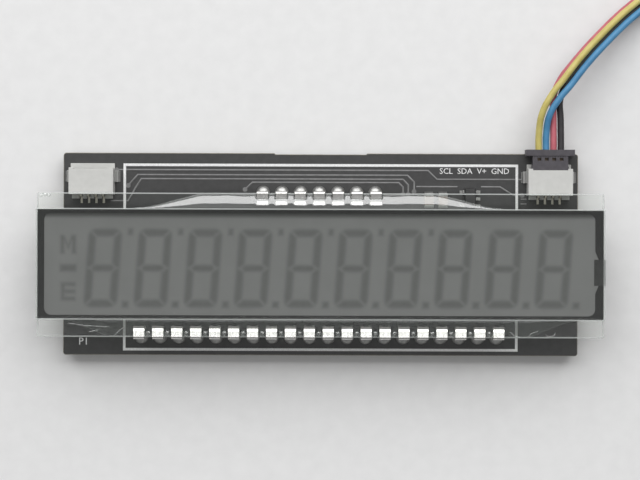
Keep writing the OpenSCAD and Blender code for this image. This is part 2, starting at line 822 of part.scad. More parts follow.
circuit_board();
legend_outline();
front_polarizer();
front_glass();
perimeter_seal();
fill_port_plug();
liquid_crystal();
segment_electrodes();
rear_glass();
rear_reflector();
for (i = [0 : lower_pins - 1]) lower_pin(i);
for (i = [0 : upper_pins - 1]) upper_pin(i);
lower_resin_bead();
upper_resin_bead();
solder_joints();
at_socket(-1) socket_housing();  // left_socket_housing
at_socket(-1) socket_contacts();  // left_socket_contacts
at_socket(1) socket_housing();  // right_socket_housing
at_socket(1) socket_contacts();  // right_socket_contacts
socket_tabs();
driver_chip();
driver_chip_leads();
regulator();
regulator_leads();
chip_capacitors();
chip_resistors();
chip_end_caps();
at_socket(1) plug_body();  // plug_housing
at_free_plug() plug_body();  // free_plug_housing
plug_contacts();
wire(0);  // wire_yellow
wire(1);  // wire_blue
wire(2);  // wire_red
wire(3);  // wire_black
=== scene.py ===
"""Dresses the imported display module: glass cell, clip pins, resin, printed board, sockets and lead."""

import math

import bmesh
import bpy
from mathutils import Matrix, Vector
from mathutils.bvhtree import BVHTree


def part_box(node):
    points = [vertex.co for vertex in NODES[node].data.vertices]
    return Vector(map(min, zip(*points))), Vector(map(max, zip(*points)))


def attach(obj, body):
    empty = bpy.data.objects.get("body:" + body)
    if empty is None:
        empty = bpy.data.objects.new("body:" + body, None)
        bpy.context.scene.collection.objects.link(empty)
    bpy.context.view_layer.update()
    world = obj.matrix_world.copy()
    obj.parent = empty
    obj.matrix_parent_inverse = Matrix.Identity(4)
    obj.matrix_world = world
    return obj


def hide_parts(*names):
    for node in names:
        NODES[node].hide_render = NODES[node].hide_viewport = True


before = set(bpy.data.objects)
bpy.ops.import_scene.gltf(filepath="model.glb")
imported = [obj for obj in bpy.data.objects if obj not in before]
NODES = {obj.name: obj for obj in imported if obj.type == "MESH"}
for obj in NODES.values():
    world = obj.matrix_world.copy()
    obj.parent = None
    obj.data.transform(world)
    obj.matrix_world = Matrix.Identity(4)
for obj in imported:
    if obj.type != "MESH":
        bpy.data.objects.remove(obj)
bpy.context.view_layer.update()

MM = 0.001
# Layers that touch are drawn this far apart, so that no two share a plane
HAIR = 0.004 * MM
BOARD_LOW, BOARD_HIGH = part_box("circuit_board")
BOARD_TOP = BOARD_HIGH[2]
BOARD_BACK = BOARD_LOW[2]
LOWER_PINS = sorted(name for name in NODES if name.startswith("lower_pin_"))
UPPER_PINS = sorted(name for name in NODES if name.startswith("upper_pin_"))


# Node trees for the finishes

def linear(shade):
    """A grey or colour written as 0-255 screen values, as linear light."""
    values = shade if isinstance(shade, tuple) else (shade, shade, shade)
    parts = [v / 255 for v in values]
    return tuple(p / 12.92 if p <= 0.04045 else ((p + 0.055) / 1.055) ** 2.4 for p in parts) + (1.0,)


# The noise values at which a blend of two shades starts and ends
RAMP_ENDS = (0.3, 0.7)
# Octaves of a noise, from broad soft patches to a fine grain
BROAD_DETAIL = 2.0
MIDDLE_DETAIL = 3.0
FINE_DETAIL = 4.0
INK_DETAIL = 5.0
EVEN = (1, 1, 1)


class Finish:
    """One material with a Principled shader, and short calls for the nodes that vary it."""

    def __init__(self, name, shade, roughness, metallic=0.0):
        self.material = bpy.data.materials.new(name)
        self.material.use_nodes = True
        self.tree = self.material.node_tree
        self.shader = self.tree.nodes["Principled BSDF"]
        self.shader.inputs["Base Color"].default_value = linear(shade)
        self.shader.inputs["Roughness"].default_value = roughness
        self.shader.inputs["Metallic"].default_value = metallic
        self.place = self.add("ShaderNodeTexCoord").outputs["Object"]

    def add(self, kind, **inputs):
        """A node with its inputs set or linked."""
        made = self.tree.nodes.new(kind)
        for key, value in inputs.items():
            socket = made.inputs[key.replace("_", " ")]
            if isinstance(value, bpy.types.NodeSocket):
                self.link(value, socket)
            else:
                socket.default_value = value
        return made

    def link(self, source, target):
        self.tree.links.new(source, target)

    def stretched(self, scale):
        """The piece's own coordinates, scaled along each axis."""
        mapping = self.add("ShaderNodeMapping", Scale=scale)
        self.link(self.place, mapping.inputs["Vector"])
        return mapping.outputs["Vector"]

    def noise(self, size, detail=MIDDLE_DETAIL, stretch=EVEN):
        """Noise whose lumps are about size metres across."""
        return self.add("ShaderNodeTexNoise", Vector=self.stretched(stretch), Scale=1 / size,
                        Detail=detail).outputs["Fac"]

    def between(self, factor, dark, light):
        """Colour ramp from the dark shade to the light one."""
        shades = self.add("ShaderNodeValToRGB", Fac=factor)
        for element, place, shade in zip(shades.color_ramp.elements, RAMP_ENDS, (dark, light)):
            element.position = place
            element.color = linear(shade)
        return shades.outputs["Color"]

    def mottle(self, size, dark, light, detail=MIDDLE_DETAIL, stretch=EVEN):
        """Patches between two shades."""
        colour = self.between(self.noise(size, detail, stretch), dark, light)
        self.link(colour, self.shader.inputs["Base Color"])

    def uneven_gloss(self, size, low, high):
        """Roughness that wanders between two values."""
        spread = self.add("ShaderNodeMapRange", Value=self.noise(size), To_Min=low, To_Max=high)
        self.link(spread.outputs["Result"], self.shader.inputs["Roughness"])

    def grain(self, size, depth, strength=0.4, stretch=EVEN):
        """Fine bumps of a given depth."""
        height = self.noise(size, FINE_DETAIL, stretch)
        bump = self.add("ShaderNodeBump", Strength=strength, Distance=depth, Height=height)
        self.link(bump.outputs["Normal"], self.shader.inputs["Normal"])

    def facing(self, low, high):
        """0 on faces that stand upright, 1 on faces that look up or down."""
        normal = self.add("ShaderNodeNewGeometry").outputs["Normal"]
        upright = self.add("ShaderNodeSeparateXYZ", Vector=normal).outputs["Z"]
        size = self.add("ShaderNodeMath")
        size.operation = "ABSOLUTE"
        self.link(upright, size.inputs[0])
        spread = self.add("ShaderNodeMapRange", Value=size.outputs[0], From_Min=low, From_Max=high)
        return spread.outputs["Result"]

    def outward_glance(self, ior):
        """Share of light that an outer face reflects; from inside the sheet, light passes."""
        outside = self.add("ShaderNodeMath")
        outside.operation = "SUBTRACT"
        outside.inputs[0].default_value = 1.0
        self.link(self.add("ShaderNodeNewGeometry").outputs["Backfacing"], outside.inputs[1])
        glance = self.add("ShaderNodeMath")
        glance.operation = "MULTIPLY"
        self.link(self.add("ShaderNodeFresnel", IOR=ior).outputs[0], glance.inputs[0])
        self.link(outside.outputs[0], glance.inputs[1])
        return glance.outputs[0]

    def stored(self, name):
        """A number written on the mesh's corners."""
        attribute = self.add("ShaderNodeAttribute")
        attribute.attribute_name = name
        return attribute.outputs["Fac"]

    def blended(self, factor, first, second):
        """Colour between first and second."""
        mix = self.add("ShaderNodeMix")
        mix.data_type = "RGBA"
        sockets = {s.identifier: s for s in mix.inputs}
        self.link(factor, sockets["Factor_Float"])
        self.link(first, sockets["A_Color"])
        self.link(second, sockets["B_Color"])
        return {s.identifier: s for s in mix.outputs}["Result_Color"]

    def mixed(self, factor, first, second):
        """Shader between first and second."""
        mix = self.add("ShaderNodeMixShader")
        for source, target in zip((factor, first, second), mix.inputs):
            self.link(source, target)
        return mix.outputs[0]

    def output(self, shader):
        self.link(shader, self.tree.nodes["Material Output"].inputs["Surface"])


# Finishes; shades are 0-255 screen values, lumps and depths are metres

def solder_mask():
    """Black coat on the board's faces, and the woven core along its cut edge."""
    finish = Finish("solder mask", 68, roughness=0.42)
    face = finish.between(finish.noise(0.9 * MM, BROAD_DETAIL), 54, 61)
    weave = finish.noise(0.25 * MM, FINE_DETAIL, stretch=(0.2, 0.2, 3))
    edge = finish.between(weave, (112, 108, 98), (146, 141, 128))
    finish.link(finish.blended(finish.facing(0.75, 0.95), edge, face), finish.shader.inputs["Base Color"])
    finish.grain(0.5 * MM, depth=0.012 * MM, strength=0.3)
    return finish.material


def covered_copper():
    """Copper that shows through the coat as a paler line."""
    finish = Finish("copper under the mask", 118, roughness=0.4)
    finish.mottle(0.6 * MM, 108, 124)
    finish.grain(0.4 * MM, depth=0.01 * MM)
    return finish.material


def printed_ink():
    """White ink with a slightly grainy cover."""
    finish = Finish("printed ink", 205, roughness=0.62)
    finish.mottle(0.22 * MM, 216, 240, detail=INK_DETAIL)
    finish.grain(0.12 * MM, depth=0.008 * MM)
    return finish.material


def darker(shade, levels):
    return tuple(value - levels for value in shade)


TIN_DULLING = 22
TIN_PATCH = 2
TIN_GLOSSY, TIN_MATT = 0.7, 1.35
MOULD_PATCH = 4


def tinned(name, light, roughness, size, depth, stretch=EVEN):
    """Metal with dull patches, uneven gloss and a grain; stretch draws the grain out along the strip."""
    finish = Finish(name, light, roughness, metallic=1.0)
    finish.mottle(size, darker(light, TIN_DULLING), light, FINE_DETAIL, stretch)
    finish.uneven_gloss(size * TIN_PATCH, roughness * TIN_GLOSSY, roughness * TIN_MATT)
    finish.grain(size, depth, strength=0.35, stretch=stretch)
    return finish.material


def moulding(name, dark, light, roughness, size=0.18 * MM, depth=0.012 * MM):
    """Moulded or cast surface: broad, faint changes of shade over a fine grain."""
    finish = Finish(name, light, roughness)
    finish.mottle(size * MOULD_PATCH, dark, light)
    finish.grain(size, depth)
    return finish.material


SHEER_ROUGHNESS = 0.55
SHEER_DULLING = 14
SHEER_LUMP = 0.3 * MM
SHEER_WAVE = 1.5 * MM


def sheer(name, tint, roughness, ior, body, body_share, edge_share, edges):
    """Clear sheet or resin: light passes, the surface reflects, and its edges scatter.

    body is the shade that scatters, with its share on level faces and on edges; edges says between
    which upward slopes a face changes from an edge to a level face.
    """
    finish = Finish(name, body, SHEER_ROUGHNESS)
    finish.mottle(SHEER_LUMP, darker(body, SHEER_DULLING), body, FINE_DETAIL)
    clear = finish.add("ShaderNodeBsdfTransparent", Color=linear(tint)).outputs[0]
    level = finish.facing(*edges)
    share = finish.add("ShaderNodeMapRange", Value=level, To_Min=edge_share, To_Max=body_share)
    filled = finish.mixed(share.outputs["Result"], clear, finish.shader.outputs[0])
    wave = finish.add("ShaderNodeBump", Strength=0.15, Distance=0.01 * MM, Height=finish.noise(SHEER_WAVE))
    gloss = finish.add("ShaderNodeBsdfGlossy", Roughness=roughness, Normal=wave.outputs["Normal"])
    finish.output(finish.mixed(finish.outward_glance(ior), filled, gloss.outputs[0]))
    return finish.material


# Painted shade: segment_shade holds the unlit segments' faint tone together with their soft painted shadow
# on the reflector
SEGMENT_SHADE = "segment_shade"
# Painted shadow: how far under the cell's top edge each corner lies
EDGE_SHADE = "edge_shade"


def crystal_field():
    """Grey cell over its reflector; the unlit segments darken it softly, partly as their painted shadow on
    it, and a painted shadow lies under its top edge.
    """
    finish = Finish("crystal field", 106, roughness=0.6)
    field = finish.between(finish.noise(4 * MM, BROAD_DETAIL), 115, 119)
    # The unlit segments' faint tone, together with their painted shadow on the reflector
    segment_tone_and_shadow = finish.between(finish.noise(0.5 * MM), 90, 94)
    # Painted shadow under the cell's top edge
    painted_top_shadow = finish.between(finish.noise(0.5 * MM), 34, 40)
    marked = finish.blended(finish.stored(SEGMENT_SHADE), field, segment_tone_and_shadow)
    colour = finish.blended(finish.stored(EDGE_SHADE), marked, painted_top_shadow)
    finish.link(colour, finish.shader.inputs["Base Color"])
    finish.grain(0.08 * MM, depth=0.002 * MM, strength=0.2)
    return finish.material


MASK = solder_mask()
COPPER = covered_copper()
INK = printed_ink()
PIN = tinned("tinned strip", (232, 231, 228), 0.18, size=0.2 * MM, depth=0.001 * MM,
             stretch=(1, 0.25, 0.25))
CONTACT = tinned("contact strip", (178, 174, 164), 0.36, size=0.1 * MM, depth=0.005 * MM,
                 stretch=(1, 0.2, 1))
# Painted shade: the plug's contacts are darker for the shade deep in the plug's openings
SHADED_PLUG_CONTACT = tinned("contact with painted shade", (112, 102, 92), 0.45, size=0.1 * MM, depth=0.005 * MM)
SOLDER = tinned("solder", (188, 188, 186), 0.42, size=0.35 * MM, depth=0.02 * MM)
LEAD_TIN = tinned("tinned lead", (186, 186, 184), 0.32, size=0.08 * MM, depth=0.004 * MM)
FOIL = tinned("reflector foil", (172, 172, 168), 0.5, size=0.2 * MM, depth=0.006 * MM)
GLASS = sheer("clear plate", (254, 255, 254), 0.02, ior=1.3, body=(228, 232, 230), body_share=0.002,
              edge_share=0.34, edges=(0.75, 0.98))
FILM = sheer("polarizer film", (254, 254, 254), 0.18, ior=1.22, body=(150, 150, 149), body_share=0.012,
             edge_share=0.5, edges=(0.2, 0.75))
LOWER_RESIN = sheer("clear resin", (254, 255, 254), 0.05, ior=1.45, body=(226, 230, 228), body_share=0.015,
                    edge_share=0.08, edges=(0.0, 0.6))
UPPER_RESIN = sheer("glossy resin", (253, 254, 253), 0.06, ior=2.7, body=(226, 230, 228), body_share=0.05,
                    edge_share=0.16, edges=(0.0, 0.6))
SEAL = moulding("cell seal", 12, 18, 0.5)
PORT = moulding("port resin", 34, 48, 0.3)
CRYSTAL = crystal_field()
SOCKET = moulding("off-white moulding", (193, 193, 190), (199, 199, 196), 0.5)
CHIP = moulding("moulded package", 44, 56, 0.6, size=0.1 * MM, depth=0.015 * MM)
PLUG = moulding("black moulding", (64, 61, 66), (76, 73, 78), 0.5)
CERAMIC = moulding("fired ceramic", (98, 86, 74), (116, 102, 88), 0.45)
INSULATION = {
    colour: moulding(colour + " insulation", dark, light, 0.45, size=0.4 * MM, depth=0.01 * MM)
    for colour, dark, light in (
        ("yellow", (184, 170, 92), (199, 186, 112)),
        ("blue", (62, 122, 164), (78, 140, 182)),
        ("red", (172, 84, 94), (188, 100, 110)),
        ("black", (38, 35, 37), (50, 47, 49)))
}


# Meshes

def piece(name, mesh, material, replaced=()):
    """A finished piece at the origin, riding the one body."""
    mesh.materials.clear()
    mesh.materials.append(material)
    made = bpy.data.objects.new(name, mesh)
    bpy.context.collection.objects.link(made)
    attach(made, "root")
    if replaced:
        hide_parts(*replaced)
    return made


MERGE_GAP = 0.0005 * MM
FLAT_ANGLE = math.radians(1)


def merged(node):
    """A copy of a CAD node's mesh with shared corners and whole faces, as a bmesh."""
    work = bmesh.new()
    work.from_mesh(NODES[node].data)
    bmesh.ops.remove_doubles(work, verts=work.verts, dist=MERGE_GAP)
    bmesh.ops.dissolve_limit(work, angle_limit=FLAT_ANGLE, verts=work.verts, edges=work.edges)
    return work


# Edges sharper than the first are rounded over; faces shade as one below the second, or below the third
# on bent strip, whose tongue keeps its flats
SHARP_ANGLE = math.radians(40)
SMOOTH_ANGLE = math.radians(35)
STRIP_ANGLE = math.radians(17)
ROUND_PROFILE = 0.6


def weighted_normals(mesh, smooth):
    """Corner normals that lean to the larger faces, so that a rounded edge leaves its flat sides flat."""
    faces_at = [[] for _ in mesh.vertices]
    for face in mesh.polygons:
        for index in face.vertices:
            faces_at[index].append((face.normal.copy(), face.area))
    nearly = math.cos(smooth)
    normals = []
    for face in mesh.polygons:
        for index in face.vertices:
            lean = sum((n * area for n, area in faces_at[index] if n.dot(face.normal) > nearly), Vector())
            normals.append(lean.normalized())
    mesh.normals_split_custom_set(normals)


def to_mesh(work, name, smooth=SMOOTH_ANGLE):
    """Mesh data from a bmesh, smooth but for its sharp edges."""
    mesh = bpy.data.meshes.new(name)
    work.to_mesh(mesh)
    work.free()
    for face in mesh.polygons:
        face.use_smooth = True
    mesh.set_sharp_from_angle(angle=smooth)
    weighted_normals(mesh, smooth)
    return mesh


def everywhere(edge):
    """Keeps every edge."""
    return True


def stood_off(work, gap):
    """Draws a sheet's two faces in by a hair, so that it shares no plane with the layers it touches."""
    middle = sum(v.co.z for v in work.verts) / len(work.verts)
    for vert in work.verts:
        vert.co.z += gap if vert.co.z < middle else -gap


def softened(node, material, width, keep=everywhere, segments=2, gap=0.0, smooth=SMOOTH_ANGLE):
    """The CAD node with its sharp edges rounded over."""
    work = merged(node)
    stood_off(work, gap)
    sharp = [e for e in work.edges
             if len(e.link_faces) == 2 and e.calc_face_angle(0) > SHARP_ANGLE and keep(e)]
    bmesh.ops.bevel(work, geom=sharp, offset=width, offset_type="OFFSET", segments=segments,
                    profile=ROUND_PROFILE, affect="EDGES", clamp_overlap=True)
    return piece(node + "_dressed", to_mesh(work, node, smooth), material, [node])


def plain(node, material):
    """The CAD node as it is, with a finish."""
    return piece(node + "_dressed", to_mesh(merged(node), node), material, [node])


# Lead: the same route as the part's source, in metres. Each wire leaves its own row of the plug, then
# closes up with the others into two layers.

LEAD_EXIT = (31.0 * MM, 13.75 * MM, 0.0)
WIRE_D = 0.9 * MM
WIRE_COLOURS = list(INSULATION)
LEAD_ROWS = [-1.5 * MM, -0.5 * MM, 0.5 * MM, 1.5 * MM]
LEAD_PACK = [-0.6 * MM, 0.65 * MM, -0.9 * MM, 0.1 * MM]
LEAD_LAYER = [1, 1, -1, -1]
LAYER_STEP = 0.46 * MM
LAYER_START = 1.5 * MM
LAYER_RUN = 3.5 * MM
PACK_START = 3.5 * MM
PACK_RUN = 6.5 * MM
LAY_Z = 0.00096
PLUG_Z = 0.004075
FREE_Z = 0.0011
WIRE_STEPS = 6
WIRE_ROUNDNESS = 5
LEAD_ROUTE = [
    (0, 0, PLUG_Z), (0, 0.0026, PLUG_Z), (0.0002, 0.0051, 0.0044), (0.0009, 0.0075, 0.0046),
    (0.0022, 0.0096, 0.0046), (0.0038, 0.0117, 0.0044), (0.0055, 0.0137, 0.004), (0.0073, 0.0156, 0.0034),
    (0.0092, 0.0175, 0.0027), (0.0112, 0.0193, 0.002), (0.0134, 0.0209, 0.0014), (0.0159, 0.0217, 0.0011),
    (0.0184, 0.0211, LAY_Z), (0.0202, 0.0192, LAY_Z), (0.021, 0.0167, LAY_Z), (0.0212, 0.0141, LAY_Z),
    (0.0211, 0.0114, LAY_Z), (0.0208, 0.0087, 0.00105), (0.0205, 0.006, FREE_Z), (0.0205, 0.0034, FREE_Z),
]
ROUTE = [Vector(p) for p in LEAD_ROUTE]
RUN = [0.0]
for start, end in zip(ROUTE, ROUTE[1:]):
    RUN.append(RUN[-1] + (end - start).length)


def centre(box, axis):
    """The middle of a corner box along one axis."""
    low, high = box
    return (low[axis] + high[axis]) / 2


def ramp(t):
    """0 below t = 0, 1 above t = 1, and smooth between."""
    t = min(max(t, 0.0), 1.0)
    return t * t * (3 - 2 * t)


def heading(i):
    """The way the lead runs at one point of its route."""
    if i == 0:
        return Vector((0, 1, 0))
    if i == len(ROUTE) - 1:
        return Vector((0, -1, 0))
    return (ROUTE[i + 1] - ROUTE[i - 1]).normalized()


def wire_point(w, i):
    """One wire's own point beside the lead's route."""
    along = heading(i)
    right = Vector((along.y, -along.x, 0)).normalized()
    s = min(RUN[i], RUN[-1] - RUN[i])
    packed = ramp((s - PACK_START) / PACK_RUN)
    layered = ramp((s - LAYER_START) / LAYER_RUN)
    aside = LEAD_ROWS[w] * (1 - packed) + LEAD_PACK[w] * packed
    rise = Vector((0, 0, LEAD_LAYER[w] * LAYER_STEP * layered))
    return Vector(LEAD_EXIT) + ROUTE[i] + right * aside + rise


def insulated_wire(w):
    """One wire of the lead: a tube along its own route."""
    node = "wire_" + WIRE_COLOURS[w]
    curve = bpy.data.curves.new(node + "_lead", "CURVE")
    curve.dimensions = "3D"
    curve.resolution_u = WIRE_STEPS
    curve.bevel_depth = WIRE_D / 2
    curve.bevel_resolution = WIRE_ROUNDNESS
    curve.use_fill_caps = True
    spline = curve.splines.new("BEZIER")
    spline.bezier_points.add(len(ROUTE) - 1)
    for i, point in enumerate(spline.bezier_points):
        point.co = wire_point(w, i)
        point.handle_left_type = "AUTO"
        point.handle_right_type = "AUTO"
    curve.materials.append(INSULATION[WIRE_COLOURS[w]])
    made = bpy.data.objects.new(node + "_lead", curve)
    bpy.context.collection.objects.link(made)
    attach(made, "root")
    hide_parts(node)


# Display cell

GRID_STEP = 0.2 * MM
# How soft the segments' tone and painted shadow are, and how far the painted shadow under the cell's top
# edge reaches
SHADE_BLUR = 0.8 * MM
TOP_SHADOW = 0.9 * MM
# A face whose normal rises more than this looks up
LEVEL = 0.5


def gridded(work, low, high):
    """Cuts the faces that look up into squares, so that they can carry a soft shade."""
    for normal, axis in ((Vector((1, 0, 0)), 0), (Vector((0, 1, 0)), 1)):
        for i in range(1, int((high[axis] - low[axis]) / GRID_STEP)):
            top = [f for f in work.faces if f.normal.z > LEVEL]
            edges = {e for f in top for e in f.edges}
            corners = {v for f in top for v in f.verts}
            bmesh.ops.bisect_plane(work, geom=top + list(edges) + list(corners), plane_no=normal,
                                   plane_co=normal * (low[axis] + i * GRID_STEP))


def segment_walls():
    """Search trees of the segments' outlines and whole surface, with their middle and top levels."""
    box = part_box("segment_electrodes")
    walls = merged("segment_electrodes")
    whole = BVHTree.FromBMesh(walls)
    flat = [f for f in walls.faces if abs(f.normal.z) > LEVEL]
    bmesh.ops.delete(walls, geom=flat, context="FACES_ONLY")
    outlines = BVHTree.FromBMesh(walls)
    walls.free()
    return outlines, whole, centre(box, 2), box[1][2]


def shade_segments(work, walls, top_y):
    """Writes how dark each corner is: softly across a segment's outline, partly as a painted shadow on the
    reflector, and as a painted shadow under the cell's top edge.
    """
    outlines, whole, middle, top_z = walls
    for name in (SEGMENT_SHADE, EDGE_SHADE):
        work.verts.layers.float.new(name)
    segment = work.verts.layers.float[SEGMENT_SHADE]
    edge = work.verts.layers.float[EDGE_SHADE]
    for vert in work.verts:
        x, y = vert.co.x, vert.co.y
        off = outlines.find_nearest((x, y, middle))[3]
        inside = whole.find_nearest((x, y, top_z))[3] < HAIR
        vert[segment] = ramp(0.5 + (off if inside else -off) / SHADE_BLUR)
        # Painted shadow, darkest at the cell's top edge
        vert[edge] = 1 - ramp((top_y - y) / TOP_SHADOW)


def thinned(work, level):
    """Lowers a coating's upper face to the level, as a coating casts no shadow on its field."""
    for vert in work.verts:
        vert.co.z = min(vert.co.z, level)


def crystal_cell():
    """The filled cell and its segments, which share one finish and one soft shade."""
    low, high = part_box("liquid_crystal")
    walls = segment_walls()
    for name, node, slot in (("crystal_cell", "liquid_crystal", "crystal"),
                             ("soft_segments", "segment_electrodes", "segment")):
        work = merged(node)
        gridded(work, low, high)
        shade_segments(work, walls, high[1])
        if node == "segment_electrodes":
            thinned(work, high[2] + HAIR)
        piece(name, to_mesh(work, name), CRYSTAL, [node])


# Resin beads: the source's swelling fillet, with finer rings

BEAD_STEPS = 480
BEAD_ARC = 18
LOWER_TAPER = 7 * MM
UPPER_TAPER = 10 * MM
BEAD_LEAST = 0.05
# The bead's edge wavers by this share, in two waves
WAVER = 0.035
SHORT_WAVE, LONG_WAVE = 0.9 * MM, 2.3 * MM
# The bead draws back over each clip by this share, and comes forward again within this distance beside it
CLIP_DRAW = 0.2
CLIP_FADE = 0.25 * MM


def resin_bead(node, material, toward, taper, clips=()):
    """A bead on a ledge, toward -Y or +Y from the front plate, running out at both ends."""
    low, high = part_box(node)
    ledge = high[1] - low[1]
    height = high[2] - low[2]
    root_y = high[1] if toward < 0 else low[1]
    middle = centre((low, high), 0)
    half = (high[0] - low[0]) / 2
    spans = [[end[0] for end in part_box(clip)] for clip in clips]

    def over_clip(x):
        """1 over a clip and 0 between the clips."""
        return max((ramp(1 + min(x - left, right - x) / CLIP_FADE) for left, right in spans), default=0)

    work = bmesh.new()
    rings = []
    for i in range(BEAD_STEPS + 1):
        x = -half + 2 * half * i / BEAD_STEPS
        share = BEAD_LEAST + (1 - BEAD_LEAST) * ramp((half - abs(x)) / taper)
        lump = 1 - WAVER * share * (1 + math.sin(x / SHORT_WAVE) * math.sin(x / LONG_WAVE))
        spread = ledge * share * lump * (1 - CLIP_DRAW * over_clip(middle + x))
        rise = height * math.sqrt(share)
        ring = [work.verts.new((middle + x, root_y, low[2]))]
        for k in range(BEAD_ARC + 1):
            a = math.pi / 2 * k / BEAD_ARC
            y = root_y + toward * spread * math.cos(a)
            ring.append(work.verts.new((middle + x, y, low[2] + rise * math.sin(a))))
        rings.append(ring)
    for near, far in zip(rings, rings[1:]):
        for k in range(len(near)):
            n = (k + 1) % len(near)
            work.faces.new((near[k], far[k], far[n], near[n]))
    work.faces.new(rings[0])
    work.faces.new(rings[-1][::-1])
    bmesh.ops.recalc_face_normals(work, faces=work.faces)
    piece(node + "_dressed", to_mesh(work, node), material, [node])


# Geometry Nodes: printed copper and resin along their routes, and rings or drops at their places

ROUND_SIDES = 20
DROP_RINGS = 12
HOLE_SHARE = 0.45


def node_group(name, inputs):
    """A tree with a geometry input and output, and one named input for each size."""
    tree = bpy.data.node_groups.new(name, "GeometryNodeTree")
    tree.interface.new_socket("Geometry", in_out="INPUT", socket_type="NodeSocketGeometry")
    tree.interface.new_socket("Geometry", in_out="OUTPUT", socket_type="NodeSocketGeometry")
    for label, value in inputs.items():
        socket = tree.interface.new_socket(label, in_out="INPUT", socket_type="NodeSocketFloat")
        socket.default_value = value
    return tree, tree.nodes.new("NodeGroupInput"), tree.nodes.new("NodeGroupOutput")


def linked(tree, *pairs):
    """Links each pair of sockets."""
    for source, target in pairs:
        tree.links.new(source, target)


def closed_tree(tree, geometry, material, out):
    """Ends a tree: copies made real, and one material."""
    realize = tree.nodes.new("GeometryNodeRealizeInstances")
    paint = tree.nodes.new("GeometryNodeSetMaterial")
    paint.inputs["Material"].default_value = material
    linked(tree, (geometry, realize.inputs["Geometry"]),
           (realize.outputs["Geometry"], paint.inputs["Geometry"]),
           (paint.outputs["Geometry"], out.inputs["Geometry"]))
    return tree


def strip_tree(material):
    """A flat strip swept along each spline of the input curve."""
    tree, given, out = node_group("flat strip", {"Width": 0.25 * MM, "Height": 0.03 * MM})
    profile = tree.nodes.new("GeometryNodeCurvePrimitiveQuadrilateral")
    sweep = tree.nodes.new("GeometryNodeCurveToMesh")
    sweep.inputs["Fill Caps"].default_value = True
    linked(tree, (given.outputs["Width"], profile.inputs["Width"]),
           (given.outputs["Height"], profile.inputs["Height"]),
           (given.outputs["Geometry"], sweep.inputs["Curve"]),
           (profile.outputs["Curve"], sweep.inputs["Profile Curve"]))
    return closed_tree(tree, sweep.outputs["Mesh"], material, out)


def ring_tree(material):
    """A plated ring with a raised middle at each point of the input mesh."""
    tree, given, out = node_group("plated ring", {"Radius": 0.3 * MM, "Height": 0.03 * MM})
    ring = tree.nodes.new("GeometryNodeMeshCylinder")
    ring.inputs["Vertices"].default_value = ROUND_SIDES
    middle = tree.nodes.new("GeometryNodeMeshCone")
    middle.inputs["Vertices"].default_value = ROUND_SIDES
    hole = tree.nodes.new("ShaderNodeMath")
    hole.operation = "MULTIPLY"
    hole.inputs[1].default_value = HOLE_SHARE
    join = tree.nodes.new("GeometryNodeJoinGeometry")
    copies = tree.nodes.new("GeometryNodeInstanceOnPoints")
    linked(tree, (given.outputs["Radius"], ring.inputs["Radius"]),
           (given.outputs["Height"], ring.inputs["Depth"]),
           (given.outputs["Radius"], hole.inputs[0]),
           (hole.outputs[0], middle.inputs["Radius Bottom"]),
           (given.outputs["Height"], middle.inputs["Depth"]),
           (ring.outputs["Mesh"], join.inputs["Geometry"]),
           (middle.outputs["Mesh"], join.inputs["Geometry"]),
           (given.outputs["Geometry"], copies.inputs["Points"]),
           (join.outputs["Geometry"], copies.inputs["Instance"]))
    return closed_tree(tree, copies.outputs["Instances"], material, out)


def drop_tree(material):
    """A flattened round drop at each point of the input mesh."""
    tree, given, out = node_group("resin drop", {"Radius": 0.4 * MM, "Flatness": 0.5})
    ball = tree.nodes.new("GeometryNodeMeshUVSphere")
    ball.inputs["Segments"].default_value = ROUND_SIDES
    ball.inputs["Rings"].default_value = DROP_RINGS
    squash = tree.nodes.new("ShaderNodeCombineXYZ")
    for axis in "XY":
        squash.inputs[axis].default_value = 1
    copies = tree.nodes.new("GeometryNodeInstanceOnPoints")
    linked(tree, (given.outputs["Radius"], ball.inputs["Radius"]),
           (given.outputs["Flatness"], squash.inputs["Z"]),
           (squash.outputs["Vector"], copies.inputs["Scale"]),
           (given.outputs["Geometry"], copies.inputs["Points"]),
           (ball.outputs["Mesh"], copies.inputs["Instance"]))
    return closed_tree(tree, copies.outputs["Instances"], material, out)


def grown(name, data, tree, material, slot, **sizes):
    """Runs a tree on curve or point data, and keeps the result as a plain mesh."""
    source = bpy.data.objects.new(name + "_source", data)
    bpy.context.collection.objects.link(source)
    modifier = source.modifiers.new("grow", "NODES")
    modifier.node_group = tree
    sockets = {s.name: s.identifier for s in tree.interface.items_tree if s.item_type == "SOCKET"}
    for label, value in sizes.items():
        modifier[sockets[label]] = value
    bpy.context.view_layer.update()
    evaluated = source.evaluated_get(bpy.context.evaluated_depsgraph_get())
    mesh = bpy.data.meshes.new_from_object(evaluated)
    source.modifiers.remove(modifier)
    bpy.data.objects.remove(source)
    return piece(name, mesh, material)


def routes(name, lines, level):
    """Curve data with one straight-cornered spline for each list of (x, y) in millimetres."""
    curve = bpy.data.curves.new(name, "CURVE")
    curve.dimensions = "3D"
    for line in lines:
        spline = curve.splines.new("POLY")
        spline.points.add(len(line) - 1)
        for point, (x, y) in zip(spline.points, line):
            point.co = (x * MM, y * MM, level, 1)
    return curve


def spots(name, places, level):
    """Mesh data with one loose point for each (x, y) in millimetres."""
    mesh = bpy.data.meshes.new(name)
    mesh.from_pydata([(x * MM, y * MM, level) for x, y in places], [], [])
    return mesh


# Resin marks on the rear plate's ledges: places in millimetres, sizes in metres

SMEARS = [
    [(-33.9, -9.3), (-31.6, -9.62), (-28.4, -9.8)],
    [(-31.0, -10.5), (-29.7, -10.15)],
    [(-27.6, -10.9), (-26.9, -10.2), (-26.3, -9.8)],
    [(25.4, -10.3), (26.1, -10.9), (26.9, -11.05)],
    [(27.9, -11.0), (28.3, -10.5), (29.2, -10.2)],
    [(30.2, -10.6), (30.5, -10.95), (31.0, -11.0), (31.4, -10.75), (31.5, -10.4)],
]
SMEAR_LIFT = 0.02 * MM
CORNER_DROPS = [(-37.5, 7.85), (-37.0, 7.95), (-36.5, 7.88)]
POOL_INSET = 0.55


